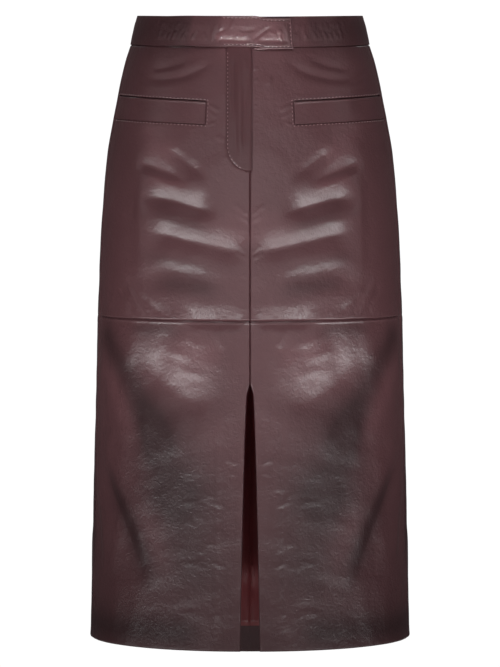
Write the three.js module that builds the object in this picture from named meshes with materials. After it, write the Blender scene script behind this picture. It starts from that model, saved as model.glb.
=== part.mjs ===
// A leather midi skirt with a front slit, in the shape that it has when it is worn: hollow, open at
// the waist and at the hem. Millimetres, +Z up, the front faces -Y, and +X is on the right as seen
// from the front, which is the skirt's own left side. The origin is the centre of the waist opening,
// half way up the waistband.
//
// Every piece is a thin wall over one body surface. A place on that surface is a turn, in degrees
// round from centre front towards +X, and a height z.
import * as THREE from 'three';

// Walls, with their seam allowances
const LEATHER_WALL = 1.6;
const BAND_WALL = 3.0;
const WELT_WALL = 1.6;
const FLY_WALL = 1.3;
const HEM_WALL = 1.2;
const LINING_WALL = 1.0;

// Gaps between walls
const SEAM_GAP = 0.3;
const LAID_ON_GAP = 0.5;

// Where the panels meet
const SIDE_SEAM_TURN = 78;
const SLIT_TOP_Z = -413.6;
const SLIT_TOP_HALF_WIDTH = 2.3;
const SLIT_HEM_HALF_WIDTH = 11.2;
const SLIT_OPENING_POWER = 0.6;

// The lines that run round the skirt: height at the sides, and its change at centre front and back
const LINE_POWER = 1.25;
const WAIST_TOP = { side: 15.8, front: -6.6, back: 2.2 };
const BAND_SEAM = { side: -17.5, front: -8.5, back: 1.5 };
const MIDDLE_SEAM = { side: -333.7, front: -7.7, back: -2.3 };
const HEM = { side: -708.5, front: -12.4, back: -26.4 };

// Waistband, whose two ends overlap at the front
const BAND_UNDERLAP_TURN = -26;
const BAND_TAB_TURN = 20;
const BAND_LIFT_FROM_TURN = -46;
const BAND_LIFT_TO_TURN = -28;
const BAND_STANDS_PROUD = 0.3;
const BAND_PUFF = 0.7;
const BAND_TAB_DROP = 3;
const BAND_TAB_DROP_FROM_TURN = 2;
const BAND_TAB_DROP_TO_TURN = 9;

// Pocket welts, which end just short of the side seams
const WELT = { innerTurn: 18.6, outerTurn: 75.5, innerZ: -89.6, outerZ: -79.3, height: 25.5 };

// Fly, a front edge laid over the other side and stitched in the shape of a J
const FLY = { left: -27, right: 2.2, curveTopZ: -139.5, bottomZ: -168.8 };

// Turned-up hem and lining
const HEM_DEPTH = 33;
const LINING_ABOVE_HEM = 31;
const LINING_SLIT_MARGIN = 16;
const LINING_TOP_CLEARANCE = 0.45;
const LINING_LOW_CLEARANCE = 6;
const LINING_FALL = 90;
const LINING_WAVE = { height: 1.6, perTurn: 9 };

// The body surface: half width and depths in front of and behind the side seams, at each height
const SECTIONS = [
  { z: 30, halfWidth: 128.5, front: 93.0, back: 95.0 },
  { z: 15.8, halfWidth: 131.6, front: 94.0, back: 96.5 },
  { z: -15.8, halfWidth: 139.2, front: 97.5, back: 100.5 },
  { z: -35.7, halfWidth: 145.1, front: 101.0, back: 105.0 },
  { z: -59.1, halfWidth: 151.3, front: 104.8, back: 111.0 },
  { z: -82.5, halfWidth: 155.6, front: 108.0, back: 117.0 },
  { z: -105.9, halfWidth: 160.3, front: 110.8, back: 122.5 },
  { z: -141.0, halfWidth: 166.1, front: 114.3, back: 129.5 },
  { z: -187.8, halfWidth: 170.8, front: 117.5, back: 134.0 },
  { z: -234.6, halfWidth: 174.3, front: 119.2, back: 134.0 },
  { z: -304.8, halfWidth: 177.0, front: 119.8, back: 130.5 },
  { z: -375.0, halfWidth: 179.0, front: 119.5, back: 127.0 },
  { z: -445.0, halfWidth: 180.5, front: 119.0, back: 124.5 },
  { z: -562.0, halfWidth: 183.6, front: 118.5, back: 121.0 },
  { z: -632.0, halfWidth: 185.0, front: 118.0, back: 119.5 },
  { z: -708.5, halfWidth: 186.6, front: 117.5, back: 118.5 },
  { z: -740.0, halfWidth: 187.2, front: 117.5, back: 118.5 },
];
const SQUARENESS = 0.032;
const MM_PER_DEGREE = 2.6;

// The largest folds, the same on both sides. Each runs from one place to another, bowed sideways by
// bend, and its height is a ridge where positive and a trough where negative.
const FOLDS = [
  // waist to hip, above the pockets
  { turn: 50, z: -65, toTurn: 17, toZ: -50, bend: 4, halfWidth: 8, height: -2.2 },
  { turn: 48, z: -50, toTurn: 25, toZ: -36, bend: 3, halfWidth: 8, height: 1.2 },
  // across the front, below the pockets
  { turn: 50, z: -141, toTurn: 30, toZ: -170, bend: 0, halfWidth: 9, height: 2.2 },
  { turn: 46, z: -198, toTurn: 13, toZ: -208, bend: 2, halfWidth: 12, height: 3.2 },
  { turn: 46, z: -232, toTurn: 7, toZ: -251, bend: 2, halfWidth: 13, height: 3.4 },
  { turn: 42, z: -271, toTurn: 12, toZ: -290, bend: 2, halfWidth: 13, height: 2.4 },
  { turn: 29, z: -331, toTurn: 5, toZ: -329, bend: 0, halfWidth: 10, height: 1.6 },
  // down centre front
  { turn: 0, z: -150, toTurn: 0, toZ: -440, bend: 0, halfWidth: 34, height: -2.5 },
  // from the hips down across the lower front
  { turn: 82, z: -340, toTurn: 32, toZ: -520, bend: -12, halfWidth: 17, height: -5.5 },
  { turn: 74, z: -405, toTurn: 40, toZ: -535, bend: -6, halfWidth: 16, height: 3.0 },
  { turn: 76, z: -480, toTurn: 33, toZ: -670, bend: -8, halfWidth: 15, height: -5.5 },
  { turn: 48, z: -525, toTurn: 25, toZ: -665, bend: 0, halfWidth: 18, height: 2.2 },
  // below the waistband and across the back
  { turn: 148, z: -66, toTurn: 172, toZ: -52, bend: 3, halfWidth: 9, height: -2.0 },
  { turn: 128, z: -256, toTurn: 174, toZ: -282, bend: -5, halfWidth: 14, height: 2.6 },
  { turn: 124, z: -292, toTurn: 170, toZ: -314, bend: -5, halfWidth: 14, height: -2.8 },
  // down centre back
  { turn: 180, z: -130, toTurn: 180, toZ: -300, bend: 0, halfWidth: 26, height: -4.0 },
  // from the hips down across the lower back
  { turn: 100, z: -352, toTurn: 150, toZ: -525, bend: 10, halfWidth: 18, height: -5.0 },
  { turn: 112, z: -430, toTurn: 142, toZ: -560, bend: 6, halfWidth: 18, height: 2.6 },
  { turn: 104, z: -500, toTurn: 146, toZ: -672, bend: 8, halfWidth: 16, height: -4.8 },
  { turn: 163, z: -560, toTurn: 166, toZ: -700, bend: 0, halfWidth: 20, height: 2.4 },
];
const FOLD_TAPER = 0.35;

// How finely the walls are divided
const FRONT_COLUMNS = 13;
const BACK_COLUMNS = 15;
const UPPER_ROWS = 18;
const LOWER_ROWS = 16;
const BAND_COLUMNS = 60;
const WELT_COLUMNS = 11;
const FLY_COLUMNS = 5;
const FLY_ROWS = 14;
const FLY_END_ROWS = [0.96, 0.985];
const LINING_ROWS = 9;
const LINING_TOP_ROW = 0.03;
const ACROSS_A_STRIP = 2;
const CLOSEST_STOP = 0.35;

const LEATHER = { color: 0x4a2f33, roughness: 0.42, metalness: 0 };
const LEATHER_INSIDE = { color: 0x3f2a2c, roughness: 0.6, metalness: 0 };
const SATIN = { color: 0x5a2c2d, roughness: 0.35, metalness: 0 };

const radians = THREE.MathUtils.degToRad;
const degrees = THREE.MathUtils.radToDeg;
const { lerp, smoothstep } = THREE.MathUtils;

// The turn counted from -180 to 180
function wrapped(turn) {
  return turn - 360 * Math.round(turn / 360);
}

// A column of the section table at height z, as a smooth curve through its rows
function sectionValue(column, z) {
  const last = SECTIONS.length - 1;
  const clamped = Math.min(SECTIONS[0].z, Math.max(SECTIONS[last].z, z));
  let i = 0;
  while (i < last - 1 && clamped < SECTIONS[i + 1].z) i += 1;
  const slopeAt = (k) => {
    const above = SECTIONS[Math.max(k - 1, 0)];
    const below = SECTIONS[Math.min(k + 1, last)];
    return (below[column] - above[column]) / (below.z - above.z);
  };
  const span = SECTIONS[i + 1].z - SECTIONS[i].z;
  const s = (clamped - SECTIONS[i].z) / span;
  const s2 = s * s;
  const s3 = s2 * s;
  return (2 * s3 - 3 * s2 + 1) * SECTIONS[i][column]
    + (s3 - 2 * s2 + s) * span * slopeAt(i)
    + (3 * s2 - 2 * s3) * SECTIONS[i + 1][column]
    + (s3 - s2) * span * slopeAt(i + 1);
}

// The height of a line that runs round the skirt, at a turn
function lineHeight(line, turn) {
  const c = Math.cos(radians(turn));
  const change = c > 0 ? line.front : line.back;
  return line.side + change * Math.abs(c) ** LINE_POWER;
}

// The body surface without folds
function bodyPoint(turn, z) {
  const a = radians(turn);
  const square = 1 + SQUARENESS * Math.sin(2 * a) ** 2;
  const depth = sectionValue(Math.cos(a) > 0 ? 'front' : 'back', z);
  const halfWidth = sectionValue('halfWidth', z);
  return new THREE.Vector3(halfWidth * Math.sin(a) * square, -depth * Math.cos(a) * square, z);
}

function bodyNormal(turn, z) {
  const step = 0.5;
  const round = bodyPoint(turn + step, z).sub(bodyPoint(turn - step, z));
  const up = bodyPoint(turn, z + step).sub(bodyPoint(turn, z - step));
  return round.cross(up).normalize();
}

// The turn at which the front of the body is x millimetres from centre front
function turnAtX(x, z) {
  return degrees(Math.asin(x / sectionValue('halfWidth', z)));
}

// How far one fold moves the surface at a place
function foldHeight(fold, turn, z) {
  const alongX = (fold.toTurn - fold.turn) * MM_PER_DEGREE;
  const alongZ = fold.toZ - fold.z;
  const length = Math.hypot(alongX, alongZ);
  const x = (turn - fold.turn) * MM_PER_DEGREE;
  const dz = z - fold.z;
  const l = (x * alongX + dz * alongZ) / (length * length);
  if (l <= 0 || l >= 1) return 0;
  const across = (dz * alongX - x * alongZ) / length - fold.bend * 4 * l * (1 - l);
  const taper = smoothstep(l, 0, FOLD_TAPER) * smoothstep(1 - l, 0, FOLD_TAPER);
  return fold.height * taper * Math.exp(-((across / fold.halfWidth) ** 2));
}

function foldRelief(turn, z) {
  const mirrored = Math.abs(wrapped(turn));
  return FOLDS.reduce((sum, fold) => sum + foldHeight(fold, mirrored, z), 0);
}

// A point of the folded surface, moved out by offset
function surfacePoint(turn, z, offset) {
  const out = foldRelief(turn, z) + offset;
  return bodyPoint(turn, z).addScaledVector(bodyNormal(turn, z), out);
}

// Numbers from 0 to 1 in equal steps, with further stops put in among them
function stops(count, extra = []) {
  const even = Array.from({ length: count + 1 }, (_, i) => i / count);
  const far = even.filter((s) => extra.every((e) => Math.abs(e - s) > CLOSEST_STOP / count));
  return [...far, ...extra].sort((a, b) => a - b);
}

// A closed wall between two grids of points. place(u, v) gives a turn, a height, and the offsets of
// the outer and the inner face; u runs with the turn and v runs down.
function wall(us, vs, place) {
  const positions = [];
  const columns = us.length;
  const rows = vs.length;
  for (const side of ['outer', 'inner']) {
    for (const v of vs) {
      for (const u of us) {
        const spot = place(u, v);
        positions.push(...surfacePoint(spot.turn, spot.z, spot[side]).toArray());
      }
    }
  }
  const outer = (i, j) => j * columns + i;
  const inner = (i, j) => rows * columns + j * columns + i;
  const index = [];
  const quad = (a, b, c, d) => index.push(a, b, c, a, c, d);
  for (let j = 0; j < rows - 1; j += 1) {
    for (let i = 0; i < columns - 1; i += 1) {
      quad(outer(i, j + 1), outer(i + 1, j + 1), outer(i + 1, j), outer(i, j));
      quad(inner(i, j), inner(i + 1, j), inner(i + 1, j + 1), inner(i, j + 1));
    }
    const end = columns - 1;
    quad(outer(0, j), inner(0, j), inner(0, j + 1), outer(0, j + 1));
    quad(outer(end, j + 1), inner(end, j + 1), inner(end, j), outer(end, j));
  }
  for (let i = 0; i < columns - 1; i += 1) {
    const foot = rows - 1;
    quad(outer(i, 0), outer(i + 1, 0), inner(i + 1, 0), inner(i, 0));
    quad(inner(i, foot), inner(i + 1, foot), outer(i + 1, foot), outer(i, foot));
  }
  const geometry = new THREE.BufferGeometry();
  geometry.setAttribute('position', new THREE.Float32BufferAttribute(positions, 3));
  geometry.setIndex(index);
  geometry.computeVertexNormals();
  return geometry;
}

function piece(name, geometry, finish) {
  const mesh = new THREE.Mesh(geometry, new THREE.MeshStandardMaterial(finish));
  mesh.name = name;
  return mesh;
}

// Half the width of the slit at a height, or half a seam above it
function slitHalfWidth(z) {
  if (z > SLIT_TOP_Z) return SEAM_GAP / 2;
  const hem = HEM.side + HEM.front;
  const share = Math.min(1, (SLIT_TOP_Z - z) / (SLIT_TOP_Z - hem));
  return lerp(SLIT_TOP_HALF_WIDTH, SLIT_HEM_HALF_WIDTH, share ** SLIT_OPENING_POWER);
}

// One eighth of the skirt's cloth: front or back, upper or lower, on the side given by sign.
// margin keeps it further from the slit.
function panelPlace(part, sign, topLine, bottomLine, u, v, margin = 0) {
  const along = sign > 0 ? u : 1 - u;
  const seamTurn = SEAM_GAP / 2 / MM_PER_DEGREE;
  const guess = part === 'front' ? lerp(0, SIDE_SEAM_TURN, along) : lerp(SIDE_SEAM_TURN, 180, along);
  const z = lerp(lineHeight(topLine, guess) - SEAM_GAP / 2, lineHeight(bottomLine, guess), v);
  const open = z < SLIT_TOP_Z ? margin : 0;
  const inner = part === 'front' ? turnAtX(slitHalfWidth(z) + open, z) : 180 - seamTurn;
  const outer = SIDE_SEAM_TURN + (part === 'front' ? -seamTurn : seamTurn);
  const turn = part === 'front' ? lerp(inner, outer, along) : lerp(outer, inner, along);
  return { turn: sign * turn, z };
}

const columnsOf = (part) => stops(part === 'front' ? FRONT_COLUMNS : BACK_COLUMNS);
const lowerSeamLine = { ...MIDDLE_SEAM, side: MIDDLE_SEAM.side + SEAM_GAP / 2 };

// The rows of a lower panel, with one at the slit's top and one where the turned-up hem ends
function lowerRows() {
  const top = MIDDLE_SEAM.side + MIDDLE_SEAM.front;
  const hem = HEM.side + HEM.front;
  const slitRow = (SLIT_TOP_Z - top) / (hem - top);
  return stops(LOWER_ROWS, [slitRow, hemRow()]);
}

function hemRow() {
  const top = MIDDLE_SEAM.side + MIDDLE_SEAM.front;
  const hem = HEM.side + HEM.front;
  return 1 - HEM_DEPTH / (top - hem);
}

function upperPanel(part, sign) {
  return wall(columnsOf(part), stops(UPPER_ROWS), (u, v) => ({
    ...panelPlace(part, sign, BAND_SEAM, lowerSeamLine, u, v),
    outer: 0,
    inner: -LEATHER_WALL,
  }));
}

function lowerPanel(part, sign) {
  return wall(columnsOf(part), lowerRows(), (u, v) => ({
    ...panelPlace(part, sign, MIDDLE_SEAM, HEM, u, v),
    outer: 0,
    inner: -LEATHER_WALL,
  }));
}

// The hem turned up inside a lower panel
function turnedHem(part, sign) {
  const rows = lowerRows().filter((v) => v >= hemRow());
  return wall(columnsOf(part), rows, (u, v) => ({
    ...panelPlace(part, sign, MIDDLE_SEAM, HEM, u, v),
    outer: -LEATHER_WALL - SEAM_GAP,
    inner: -LEATHER_WALL - SEAM_GAP - HEM_WALL,
  }));
}

// The lining hangs from the waist seam, inside the leather, and swings free further down
function liningPanel(part, sign) {
  const hem = { ...HEM, side: HEM.side + LINING_ABOVE_HEM };
  const top = { ...BAND_SEAM, side: BAND_SEAM.side - SEAM_GAP };
  const slitRow = (SLIT_TOP_Z - (top.side + top.front)) / (hem.side + hem.front - top.side - top.front);
  return wall(columnsOf(part), stops(LINING_ROWS, [LINING_TOP_ROW, slitRow]), (u, v) => {
    const spot = panelPlace(part, sign, top, hem, u, v, LINING_SLIT_MARGIN);
    const fall = smoothstep(BAND_SEAM.side - spot.z, 0, LINING_FALL);
    const clearance = lerp(LINING_TOP_CLEARANCE, LINING_LOW_CLEARANCE, fall);
    const wave = fall * v * LINING_WAVE.height * Math.sin(radians(spot.turn * LINING_WAVE.perTurn));
    const outer = -LEATHER_WALL - clearance + wave;
    return { ...spot, outer, inner: outer - LINING_WALL };
  });
}

// The waistband is one strip. It starts under the tab, runs round the back, and its other end
// climbs over its start and ends in the tab.
function waistband() {
  const from = BAND_UNDERLAP_TURN;
  const to = 360 + BAND_TAB_TURN;
  const liftFrom = 360 + BAND_LIFT_FROM_TURN;
  const liftTo = 360 + BAND_LIFT_TO_TURN;
  const dropFrom = 360 + BAND_TAB_DROP_FROM_TURN;
  const dropTo = 360 + BAND_TAB_DROP_TO_TURN;
  return wall(stops(BAND_COLUMNS), stops(ACROSS_A_STRIP), (u, v) => {
    const turn = lerp(from, to, u);
    const lift = smoothstep(turn, liftFrom, liftTo) * (BAND_WALL + LAID_ON_GAP);
    const drop = smoothstep(turn, dropFrom, dropTo) * BAND_TAB_DROP;
    const top = lineHeight(WAIST_TOP, turn);
    const foot = lineHeight(BAND_SEAM, turn) + SEAM_GAP / 2;
    const puff = BAND_PUFF * Math.sin(Math.PI * v);
    const inner = BAND_STANDS_PROUD + lift - BAND_WALL;
    return { turn, z: lerp(top, foot, v) - drop, outer: BAND_STANDS_PROUD + lift + puff, inner };
  });
}

// A strip folded over the edge of the pocket's opening
function pocketWelt(sign) {
  return wall(stops(WELT_COLUMNS), stops(ACROSS_A_STRIP), (u, v) => {
    const along = sign > 0 ? u : 1 - u;
    const topZ = lerp(WELT.innerZ, WELT.outerZ, along);
    return {
      turn: sign * lerp(WELT.innerTurn, WELT.outerTurn, along),
      z: topZ - v * WELT.height,
      outer: LAID_ON_GAP + WELT_WALL,
      inner: LAID_ON_GAP,
    };
  });
}

// The left edge of the fly at a height: straight, and then a quarter of an ellipse to its bottom
function flyLeft(z) {
  const down = Math.max(0, FLY.curveTopZ - z) / (FLY.curveTopZ - FLY.bottomZ);
  return FLY.left * Math.sqrt(Math.max(0, 1 - down * down));
}

function fly() {
  const top = BAND_SEAM.side + BAND_SEAM.front - SEAM_GAP / 2;
  return wall(stops(FLY_COLUMNS), stops(FLY_ROWS, FLY_END_ROWS), (u, v) => {
    const z = lerp(top, FLY.bottomZ, v);
    const x = lerp(flyLeft(z), FLY.right, u);
    return { turn: turnAtX(x, z), z, outer: LAID_ON_GAP + FLY_WALL, inner: LAID_ON_GAP };
  });
}

const skirt = new THREE.Group();
skirt.name = 'leather_skirt';
skirt.add(piece('waistband', waistband(), LEATHER));
skirt.add(piece('fly', fly(), LEATHER));
for (const [side, sign] of [['left', 1], ['right', -1]]) {
  skirt.add(piece(`pocket_welt_${side}`, pocketWelt(sign), LEATHER));
  for (const part of ['front', 'back']) {
    skirt.add(piece(`${part}_upper_${side}`, upperPanel(part, sign), LEATHER));
    skirt.add(piece(`${part}_lower_${side}`, lowerPanel(part, sign), LEATHER));
    skirt.add(piece(`${part}_hem_${side}`, turnedHem(part, sign), LEATHER_INSIDE));
    skirt.add(piece(`${part}_lining_${side}`, liningPanel(part, sign), SATIN));
  }
}

export default skirt;
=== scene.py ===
import math
import random
from typing import NamedTuple

import bmesh
import bpy
import numpy as np
from mathutils import Matrix, Vector


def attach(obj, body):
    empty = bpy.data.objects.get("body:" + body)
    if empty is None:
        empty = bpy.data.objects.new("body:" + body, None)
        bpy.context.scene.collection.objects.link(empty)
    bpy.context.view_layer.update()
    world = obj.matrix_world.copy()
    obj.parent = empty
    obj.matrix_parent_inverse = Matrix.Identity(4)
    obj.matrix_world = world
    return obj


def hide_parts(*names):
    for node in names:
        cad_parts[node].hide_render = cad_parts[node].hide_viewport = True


# A leather midi skirt in the shape that it has when it is worn. Sizes are in millimetres, and become
# metres where a mesh is made or the camera is placed. Only the lamps are laid out in metres. A place on
# the skirt is a turn, in degrees round from centre front towards +X, and a height z.

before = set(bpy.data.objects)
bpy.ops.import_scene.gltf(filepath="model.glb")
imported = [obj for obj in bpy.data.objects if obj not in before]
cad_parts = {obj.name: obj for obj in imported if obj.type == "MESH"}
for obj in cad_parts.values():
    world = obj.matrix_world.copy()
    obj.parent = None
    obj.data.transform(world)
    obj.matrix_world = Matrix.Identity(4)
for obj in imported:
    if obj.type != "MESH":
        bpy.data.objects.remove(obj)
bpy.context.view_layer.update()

MM = 0.001
BODY = "root"
SIDES = (("left", 1), ("right", -1))

# The body surface: height, half width, depth in front of and behind the side seams
SECTIONS = np.array([
    (30, 128.5, 93.0, 95.0),
    (15.8, 131.6, 94.0, 96.5),
    (-15.8, 139.2, 97.5, 100.5),
    (-35.7, 145.1, 101.0, 105.0),
    (-59.1, 151.3, 104.8, 111.0),
    (-82.5, 155.6, 108.0, 117.0),
    (-105.9, 160.3, 110.8, 122.5),
    (-141.0, 166.1, 114.3, 129.5),
    (-187.8, 170.8, 117.5, 134.0),
    (-234.6, 174.3, 119.2, 134.0),
    (-304.8, 177.0, 119.8, 130.5),
    (-375.0, 179.0, 119.5, 127.0),
    (-445.0, 180.5, 119.0, 124.5),
    (-562.0, 183.6, 118.5, 121.0),
    (-632.0, 185.0, 118.0, 119.5),
    (-708.5, 186.6, 117.5, 118.5),
    (-740.0, 187.2, 117.5, 118.5),
])
HALF_WIDTH, FRONT_DEPTH, BACK_DEPTH = 1, 2, 3

# How much fuller than an oval it is half-way round from the front or the back to a side
SQUARENESS = 0.032

# How far a degree is round the skirt, near enough to lay out creases
MM_PER_DEGREE = 2.6


class Line(NamedTuple):
    """A line that runs round the skirt: its height at the sides, and the change at centre front and back"""
    side: float
    front: float
    back: float


# How late a line leaves its height at the sides
LINE_POWER = 1.25

WAIST_TOP = Line(15.8, -6.6, 2.2)
BAND_SEAM = Line(-17.5, -8.5, 1.5)
MIDDLE_SEAM = Line(-333.7, -7.7, -2.3)
HEM = Line(-708.5, -12.4, -26.4)

# Where the panels meet. The gap in a seam is less than 0, because the panels overlap a little there and
# let no light through.
SIDE_SEAM_TURN = 78
SEAM_GAP = -0.06
CENTRE_GAP = 0.5

# The slit: its half width at the top and at the hem, how soon it opens, and how its tip closes
SLIT_TOP_Z = -413.6
SLIT_TOP_HALF_WIDTH = 2.3
SLIT_HEM_HALF_WIDTH = 11.2
SLIT_OPENING_POWER = 0.6
SLIT_TIP_SLOPE = 0.28

# The walls of the panels
LEATHER_THICKNESS = 1.2
LINING_THICKNESS = 0.5


def smooth(t):
    t = np.clip(t, 0, 1)
    return t * t * (3 - 2 * t)


def mix(a, b, t):
    return a + (b - a) * t


def bell(distance, width):
    return np.exp(-(distance / width) ** 2)


# The body surface

def section(column, z):
    """A column of SECTIONS at each height, as a smooth curve through its rows"""
    heights, values = SECTIONS[:, 0], SECTIONS[:, column]
    last = len(heights) - 1
    above = np.maximum(np.arange(last + 1) - 1, 0)
    below = np.minimum(np.arange(last + 1) + 1, last)
    slopes = (values[below] - values[above]) / (heights[below] - heights[above])
    z = np.clip(z, heights[last], heights[0])
    i = np.clip(np.searchsorted(-heights, -z, side="right") - 1, 0, last - 1)
    span = heights[i + 1] - heights[i]
    s = (z - heights[i]) / span
    return ((2 * s**3 - 3 * s**2 + 1) * values[i] + (s**3 - 2 * s**2 + s) * span * slopes[i]
            + (3 * s**2 - 2 * s**3) * values[i + 1] + (s**3 - s**2) * span * slopes[i + 1])


def line_height(line, turn):
    c = np.cos(np.radians(turn))
    return line.side + np.where(c > 0, line.front, line.back) * np.abs(c) ** LINE_POWER


def body_point(turn, z):
    a = np.radians(turn)
    square = 1 + SQUARENESS * np.sin(2 * a) ** 2
    depth = np.where(np.cos(a) > 0, section(FRONT_DEPTH, z), section(BACK_DEPTH, z))
    x = section(HALF_WIDTH, z) * np.sin(a) * square
    return np.stack([x, -depth * np.cos(a) * square, z], axis=-1)


def body_normal(turn, z, step=0.5):
    around = body_point(turn + step, z) - body_point(turn - step, z)
    up = body_point(turn, z + step) - body_point(turn, z - step)
    out = np.cross(around, up)
    return out / np.linalg.norm(out, axis=-1, keepdims=True)


def mm_per_degree(turn, z):
    return np.linalg.norm(body_point(turn + 0.5, z) - body_point(turn - 0.5, z), axis=-1)


def turn_at_x(x, z):
    return np.degrees(np.arcsin(x / section(HALF_WIDTH, z)))


def wrapped(turn):
    return turn - 360 * np.round(turn / 360)


# Creases. A ridge has a positive height and a trough a negative one. It runs from start to end, each a
# turn and a height, bowed by bow, and falls away over the half widths above and below its line. Above
# means the side of higher z, or of larger turn on one that runs straight down.

class Crease(NamedTuple):
    start: tuple
    end: tuple
    height: float
    above: float
    below: float
    bow: float = 0
    fade: float = 0.35
    sharp: float = 0


# How the slopes of a sharp fold flatten out, and how many half widths any crease reaches
SHARP_POWER = 1.6
CREASE_REACH = 3


def sharp_fold(distance, reach, radius):
    """1 along the line of a fold that has sagged, which is rounded by radius, with slopes that flatten
    out to its reach"""
    away = np.hypot(distance, radius) - radius
    return np.clip(1 - away / reach, 0, 1) ** SHARP_POWER


def relief(turn, z, creases):
    """How far the creases move the leather in or out at each place"""
    out = np.zeros_like(z)
    for crease in creases:
        run = (crease.end[0] - crease.start[0]) * MM_PER_DEGREE
        rise = crease.end[1] - crease.start[1]
        length = math.hypot(run, rise)
        x = (turn - crease.start[0]) * MM_PER_DEGREE
        up = z - crease.start[1]
        along = (x * run + up * rise) / length**2
        across = (up * run - x * rise) / length - crease.bow * 4 * along * (1 - along)
        widest = CREASE_REACH * max(crease.above, crease.below)
        near = (along > 0) & (along < 1) & (np.abs(across) < widest)
        along, across = along[near], across[near]
        taper = smooth(along / crease.fade) * smooth((1 - along) / crease.fade)
        reach = np.where(across > 0, crease.above, crease.below)
        fold = sharp_fold(across, reach, crease.sharp) if crease.sharp else bell(across, reach)
        out[near] += crease.height * taper * fold
    return out


# The main folds, the same on both sides
MAIN_FOLDS = [
    # from the waist to the hip, above the pockets
    Crease((15, -42), (54, -57), -1.8, 9, 8, bow=-12, sharp=1.6),
    Crease((26, -37), (50, -49), -1.2, 9, 6, bow=-5, sharp=1.6),
    # across the front, below the pockets
    Crease((22, -182), (50, -155), -4.4, 20, 10, fade=0.35, sharp=2),
    Crease((15, -184), (37, -140), -2.2, 9, 12, bow=3, sharp=2),
    Crease((11, -222), (46, -197), -6.2, 26, 22, bow=4, fade=0.3, sharp=1.6),
    Crease((-2, -267), (44, -236), -5.1, 26, 27, fade=0.26, sharp=1.6),
    Crease((5, -301), (43, -277), -3.0, 20, 24, fade=0.4, sharp=5),
    Crease((0, -343), (27, -340), -3.1, 20, 12, fade=0.25, sharp=1.6),
    # the outer ends of those folds, which run together
    Crease((46, -165), (44, -296), 1.1, 8, 16, fade=0.2),
    # down centre front
    Crease((0, -150), (0, -440), -2.5, 34, 34),
    # from the hips down across the lower front
    Crease((8, -456), (47, -362), -6.3, 46, 42, bow=-13, fade=0.38, sharp=7),
    Crease((37, -492), (66, -366), -1.5, 22, 26, bow=14, fade=0.45),
    Crease((38, -660), (72, -490), -3.0, 14, 40, bow=10, fade=0.3, sharp=3),
    Crease((66, -640), (80, -520), -1.4, 9, 20, bow=6, sharp=3),
    # below the waistband and across the back
    Crease((148, -66), (172, -52), -2.0, 9, 9, bow=3),
    Crease((128, -256), (174, -282), 2.6, 14, 11, bow=-5),
    Crease((124, -292), (170, -314), -2.8, 14, 14, bow=-5),
    # down centre back
    Crease((180, -130), (180, -300), -4.0, 26, 26),
    # from the hips down across the lower back
    Crease((100, -352), (150, -525), -5.0, 18, 18, bow=10),
    Crease((112, -430), (142, -560), 2.6, 18, 18, bow=6),
    Crease((104, -500), (146, -672), -4.8, 16, 16, bow=8),
    Crease((163, -560), (166, -700), 2.4, 20, 20),
]

# Painted shade and painted light in the leather's colour, the same on both sides, drawn as creases are:
# less than 0 where shade is painted darker along a fold, more than 0 where light is painted on
PAINTED_LIGHT_AND_SHADE_MARKS = [
    # the waistband, and its tab
    Crease((27, -2), (80, -2), -0.6, 26, 26, fade=0.06),
    Crease((-8, -3), (17, -3), 0.7, 30, 30, fade=0.2),
    Crease((0, -17), (18, -14), 1.0, 5, 5, fade=0.2),
    # the front
    Crease((31, -515), (74, -338), -0.8, 17, 19, bow=16, fade=0.15),
    Crease((25, -600), (39, -405), -0.75, 36, 32),
    Crease((34, -668), (69, -494), -0.9, 12, 12, bow=12),
    Crease((17, -690), (30, -480), -0.65, 38, 34),
    Crease((77, -650), (84, -465), -0.7, 9, 9),
    Crease((14, -702), (88, -690), -0.8, 20, 16, fade=0.15),
    Crease((8, -308), (40, -296), -0.5, 10, 10),
    Crease((22, -352), (52, -350), -0.5, 9, 9),
    Crease((10, -290), (46, -262), -0.3, 8, 10),
    Crease((13, -240), (40, -215), -0.3, 8, 10),
    Crease((42, -505), (75, -370), 0.5, 13, 13, bow=11),
    Crease((29, -650), (41, -545), 0.4, 15, 15),
    Crease((12, -436), (42, -362), 0.45, 24, 24),
    Crease((8, -385), (30, -372), 0.4, 14, 14),
    Crease((22, -186), (46, -176), 0.45, 10, 10),
    Crease((30, -174), (48, -108), 0.5, 17, 15),
    Crease((2, -262), (6, -205), 0.3, 24, 30),
    # the back
    Crease((104, -505), (144, -360), 0.3, 18, 18, bow=8),
    Crease((106, -500), (148, -672), -0.6, 14, 14, bow=8),
    Crease((124, -300), (170, -322), -0.4, 10, 10, bow=-5),
    Crease((128, -258), (172, -280), 0.4, 12, 10, bow=-5),
    Crease((92, -690), (172, -716), -0.5, 18, 16, fade=0.15),
]

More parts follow.
